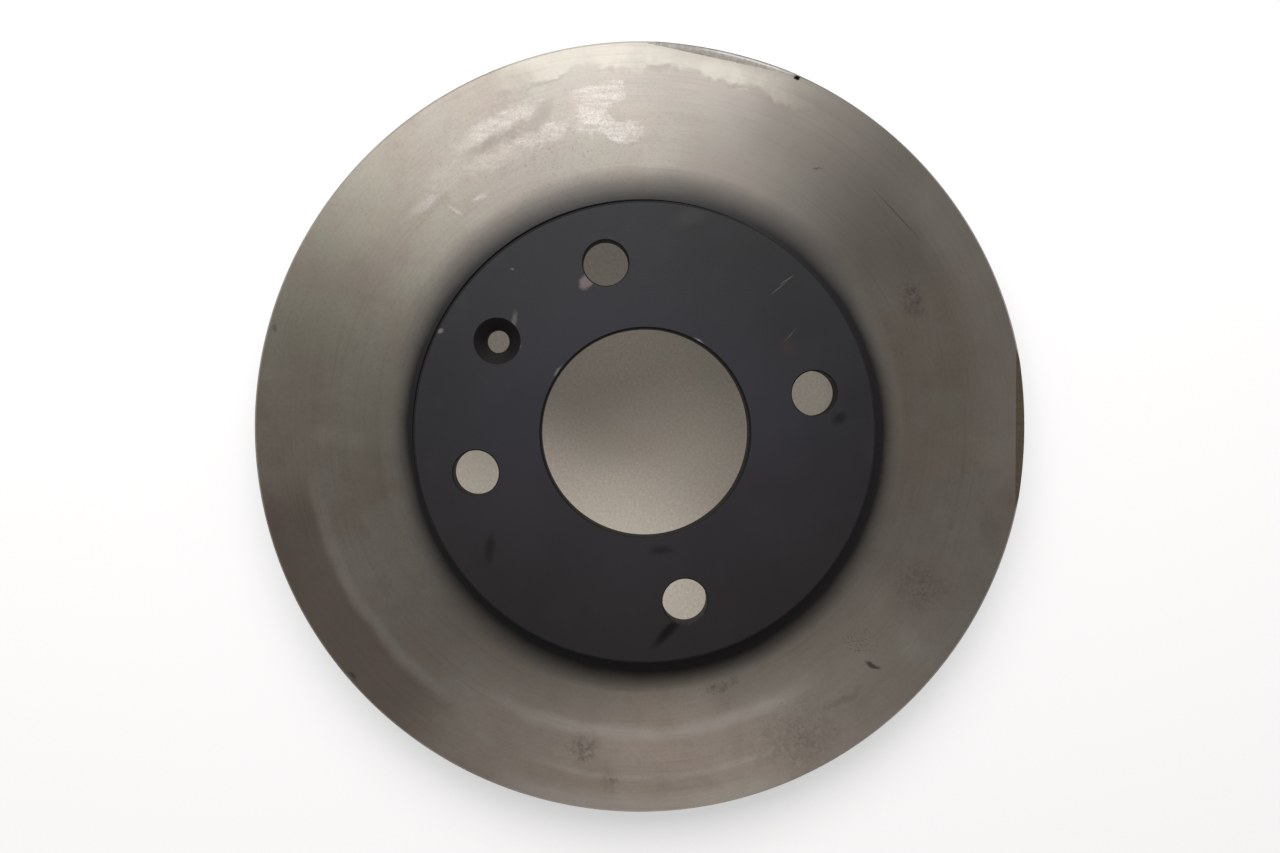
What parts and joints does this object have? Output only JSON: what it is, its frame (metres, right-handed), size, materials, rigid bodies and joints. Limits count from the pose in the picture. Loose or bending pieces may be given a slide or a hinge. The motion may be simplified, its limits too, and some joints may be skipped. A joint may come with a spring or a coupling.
{
  "type": "vented brake disc rotor",
  "caption": "Vented cast-iron brake disc for a car: a deep black hat with a centre bore and bolt holes, joined to a bare machined friction ring with cooling vanes.",
  "frame": {"origin": "centre of the bore, in the plane of the hub face (the inboard face of the mounting flange)", "axes": "+Z along the axis of rotation, from the hub face towards the wheel; +X through the centre of one wheel bolt hole; the retaining screw hole lies at 135 degrees from +X towards +Y"},
  "size_m": [0.236, 0.236, 0.041],
  "materials": {
    "machined_iron": "bare grey iron, turned to fine concentric marks on both friction faces, with light handling stains",
    "hat_coating": "thin satin near-black protective coat over turned and cast iron, with a few chips and scuffs",
    "cast_skin": "sand-cast iron skin under the same dark coat, matt and slightly rough"
  },
  "bodies": {
    "root": {"mounting_flange": "hat_coating", "hat_wall": "hat_coating", "neck": "hat_coating", "outboard_ring": "machined_iron", "inboard_ring": "machined_iron", "vane_01": "cast_skin", "vane_02": "cast_skin", "vane_03": "cast_skin", "vane_04": "cast_skin", "vane_05": "cast_skin", "vane_06": "cast_skin", "vane_07": "cast_skin", "vane_08": "cast_skin", "vane_09": "cast_skin", "vane_10": "cast_skin", "vane_11": "cast_skin", "vane_12": "cast_skin", "vane_13": "cast_skin", "vane_14": "cast_skin", "vane_15": "cast_skin", "vane_16": "cast_skin", "vane_17": "cast_skin", "vane_18": "cast_skin", "vane_19": "cast_skin", "vane_20": "cast_skin", "vane_21": "cast_skin", "vane_22": "cast_skin", "vane_23": "cast_skin", "vane_24": "cast_skin", "vane_25": "cast_skin", "vane_26": "cast_skin", "vane_27": "cast_skin", "vane_28": "cast_skin", "vane_29": "cast_skin", "vane_30": "cast_skin", "vane_31": "cast_skin", "vane_32": "cast_skin", "vane_33": "cast_skin", "vane_34": "cast_skin", "vane_35": "cast_skin", "vane_36": "cast_skin"}
  },
  "joints": []
}
